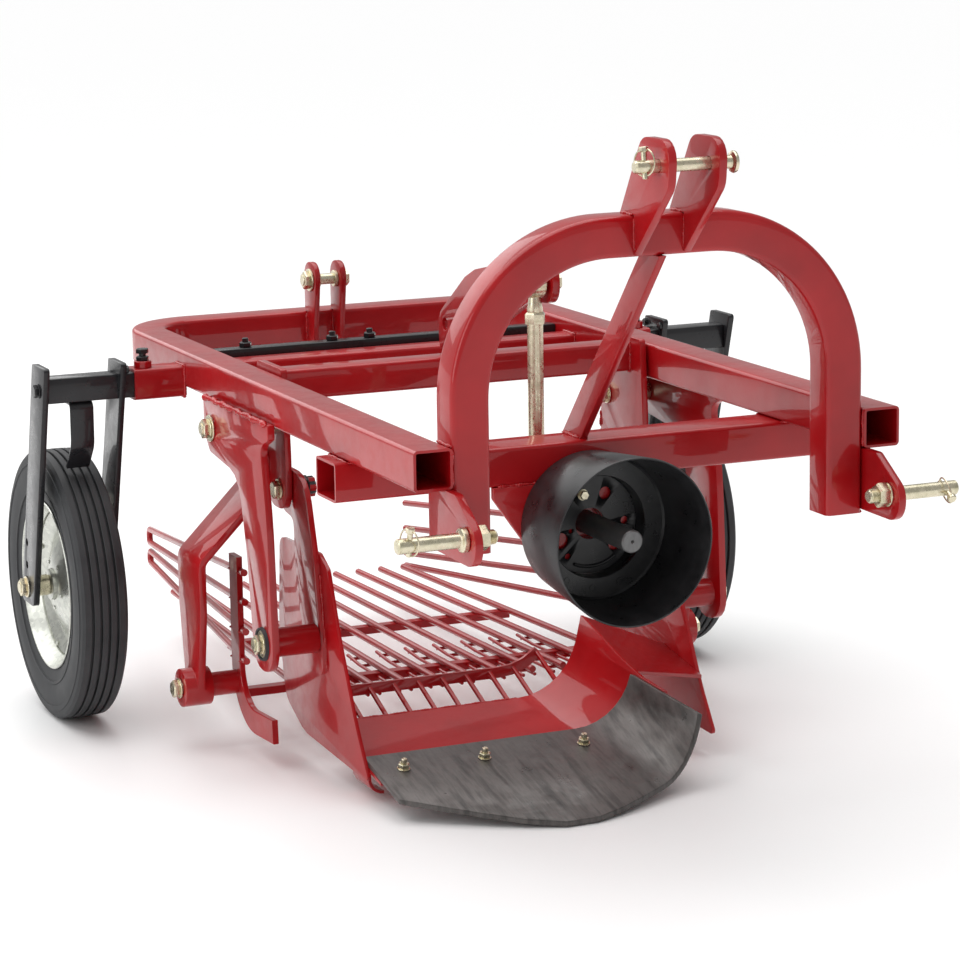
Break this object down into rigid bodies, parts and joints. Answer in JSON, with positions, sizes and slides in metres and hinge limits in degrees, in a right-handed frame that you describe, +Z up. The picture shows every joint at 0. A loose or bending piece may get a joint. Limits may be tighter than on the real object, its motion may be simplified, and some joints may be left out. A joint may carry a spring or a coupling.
{
  "type": "mounted vibrating potato digger",
  "caption": "Tractor-mounted vibrating potato digger: headstock arch, tube frame, drive shaft with rocker and rod, lifting share, rod sieve and two depth wheels.",
  "frame": {"origin": "on the ground under the middle of the machine's length, on its middle plane", "axes": "X to the machine's left, Y to the rear, Z up"},
  "size_m": [1.3066, 1.7648, 1.064],
  "materials": {
    "red_paint": "gloss",
    "black_paint": "satin",
    "yellow_zinc": "satin",
    "bare_steel": "satin",
    "galvanised_steel": "satin",
    "black_plastic": "satin",
    "tyre_rubber": "matte"
  },
  "bodies": {
    "frame": {"bearing_plate": "red_paint", "drive_guard": "black_plastic", "fork_plate_inner_left": "black_paint", "fork_plate_inner_right": "black_paint", "fork_plate_outer_left": "black_paint", "fork_plate_outer_right": "black_paint", "frame_arm_left": "red_paint", "frame_arm_right": "red_paint", "frame_rear_bar": "red_paint", "front_cross_tube": "red_paint", "hanger_plate_left": "red_paint", "hanger_plate_right": "red_paint", "headstock_arch": "red_paint", "headstock_brace": "red_paint", "lower_hitch_ear_left": "red_paint", "lower_hitch_ear_right": "red_paint", "lower_hitch_pin_left": "yellow_zinc", "lower_hitch_pin_right": "yellow_zinc", "rear_clevis": "red_paint", "rear_tie_bar": "black_paint", "rocker_pivot_bolt_left": "yellow_zinc", "rocker_pivot_bolt_right": "yellow_zinc", "shaft_bearing_housing": "red_paint", "share_pivot_bolt_left": "yellow_zinc", "share_pivot_bolt_right": "yellow_zinc", "top_link_ear_left": "red_paint", "top_link_ear_right": "red_paint", "top_link_pin": "yellow_zinc", "wheel_axle_left": "yellow_zinc", "wheel_axle_right": "yellow_zinc", "wheel_beam_left": "black_paint", "wheel_beam_right": "black_paint", "wheel_beam_socket_left": "red_paint", "wheel_beam_socket_right": "red_paint", "wheel_cross_tube": "red_paint", "wheel_scraper_left": "black_paint", "wheel_scraper_right": "black_paint"},
    "wheel_left": {"tyre_left": "tyre_rubber", "wheel_rim_left": "galvanised_steel"},
    "wheel_right": {"tyre_right": "tyre_rubber", "wheel_rim_right": "galvanised_steel"},
    "input_shaft": {"input_shaft": "bare_steel", "crank_disc": "bare_steel"},
    "rocker": {"rocker_tube": "red_paint", "rocker_end_plate_left": "red_paint", "rocker_end_plate_right": "red_paint", "rocker_lever": "red_paint", "sieve_strap_left": "red_paint", "sieve_strap_right": "red_paint"},
    "connecting_rod": {"connecting_rod": "yellow_zinc"},
    "share": {"share_blade": "bare_steel", "share_carrier": "red_paint", "share_side_plate_left": "red_paint", "share_side_plate_right": "red_paint", "share_rear_grate": "red_paint"},
    "sieve": {"sieve_bed": "red_paint", "sieve_side_left": "red_paint", "sieve_side_right": "red_paint"}
  },
  "joints": [
    {"name": "wheel_left_spin", "type": "hinge", "parent": "frame", "child": "wheel_left", "pos_m": [0.571, 0.37851, 0.232], "axis": [1, 0, 0], "continuous": true},
    {"name": "wheel_right_spin", "type": "hinge", "parent": "frame", "child": "wheel_right", "pos_m": [-0.571, 0.37851, 0.232], "axis": [1, 0, 0], "continuous": true},
    {"name": "input_shaft_spin", "type": "hinge", "parent": "frame", "child": "input_shaft", "pos_m": [0, -0.57349, 0.45], "axis": [0, 1, 0], "continuous": true},
    {"name": "rocker_swing", "type": "hinge", "parent": "frame", "child": "rocker", "pos_m": [0, 0.07151, 0.537], "axis": [1, 0, 0], "range_deg": [-2, 2]},
    {"name": "share_swing", "type": "hinge", "parent": "frame", "child": "share", "pos_m": [0, -0.15849, 0.225], "axis": [1, 0, 0], "range_deg": [-1.1, 1.1]},
    {"name": "sieve_swing", "type": "hinge", "parent": "rocker", "child": "sieve", "pos_m": [0, 0.06651, 0.107], "axis": [1, 0, 0], "range_deg": [-2.1, 2.1]},
    {"name": "connecting_rod_swing", "type": "hinge", "parent": "rocker", "child": "connecting_rod", "pos_m": [-0.012, -0.35349, 0.8], "axis": [1, 0, 0], "range_deg": [-2.1, 2.1]}
  ],
  "couplings": [
    {"joint": "share_swing", "follows": "rocker_swing", "ratio": -0.515},
    {"joint": "sieve_swing", "follows": "rocker_swing", "ratio": -1},
    {"joint": "connecting_rod_swing", "follows": "rocker_swing", "ratio": -1}
  ]
}
